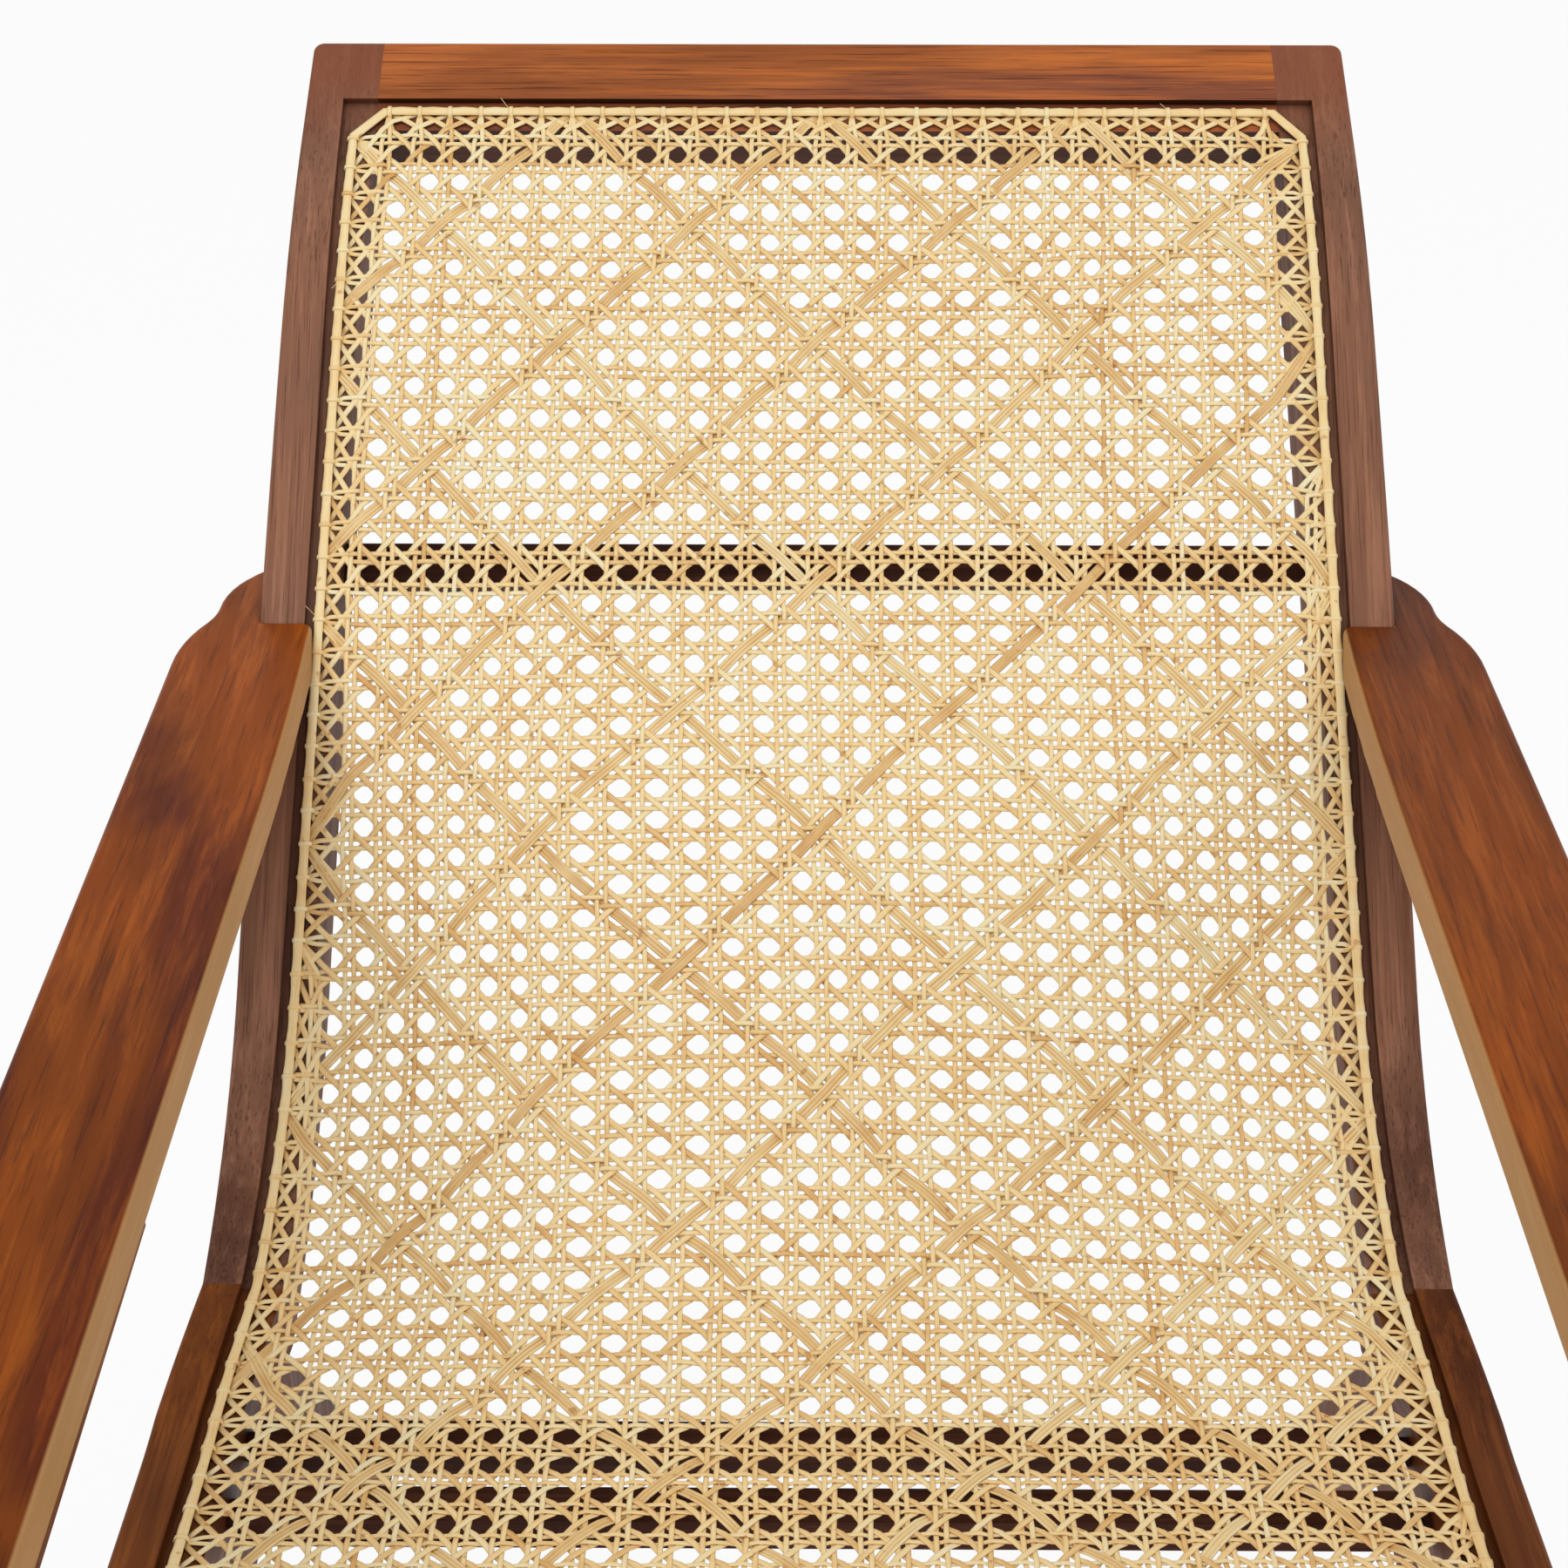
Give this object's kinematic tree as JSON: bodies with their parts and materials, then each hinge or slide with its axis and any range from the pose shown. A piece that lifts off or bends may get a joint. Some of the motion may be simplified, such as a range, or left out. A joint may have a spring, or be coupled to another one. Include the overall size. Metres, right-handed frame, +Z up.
{
  "type": "planters chair",
  "caption": "Long reclined lounge chair with a caned S-shaped back and seat, flat extended arms and leg rests that swing out from under the arms.",
  "frame": {"origin": "centre of the overall box on the floor", "axes": "+Z up, the front of the chair faces -Y, +X to the right in a view from the front"},
  "size_m": [0.679, 1.2184, 0.8114],
  "materials": {
    "frame_wood": "oiled purple-brown tropical hardwood, satin",
    "arm_wood": "oiled orange-brown tropical hardwood, satin",
    "seat_wood": "oiled dark red-brown tropical hardwood, satin",
    "peg_wood": "dark end grain, satin",
    "cane": "natural glossy-side rattan cane, woven",
    "brass": "aged brass"
  },
  "bodies": {
    "frame": {"arm_left": "arm_wood", "arm_right": "arm_wood", "arm_screw_plugs": "arm_wood", "arm_screws": "brass", "back_stile_left": "frame_wood", "back_stile_right": "frame_wood", "cane_binder": "cane", "cane_panel": "cane", "front_leg_left": "frame_wood", "front_leg_right": "frame_wood", "front_rail": "frame_wood", "front_stretcher": "frame_wood", "lap_dowels": "peg_wood", "low_rail_back": "frame_wood", "low_rail_front": "frame_wood", "lower_washer_left": "brass", "lower_washer_right": "brass", "mid_rail": "frame_wood", "pivot_bolt_left": "brass", "pivot_bolt_right": "brass", "pivot_nut_left": "brass", "pivot_nut_right": "brass", "pivot_plug_left": "peg_wood", "pivot_plug_right": "peg_wood", "rear_leg_left": "frame_wood", "rear_leg_right": "frame_wood", "seat_side_rail_left": "seat_wood", "seat_side_rail_right": "seat_wood", "side_stretcher_left": "frame_wood", "side_stretcher_right": "frame_wood", "stop_peg_left": "peg_wood", "stop_peg_right": "peg_wood", "top_rail": "frame_wood", "top_rail_pegs": "peg_wood", "upper_washer_left": "brass", "upper_washer_right": "brass"},
    "leg_rest_left": {"leg_rest_left": "arm_wood"},
    "leg_rest_right": {"leg_rest_right": "arm_wood"}
  },
  "joints": [
    {"name": "leg_rest_left_swing", "type": "hinge", "parent": "frame", "child": "leg_rest_left", "pos_m": [-0.32, -0.57119, 0.5467], "axis": [0, 0, 1], "range_deg": [0, 180]},
    {"name": "leg_rest_right_swing", "type": "hinge", "parent": "frame", "child": "leg_rest_right", "pos_m": [0.32, -0.57119, 0.5467], "axis": [0, 0, -1], "range_deg": [0, 180]}
  ]
}
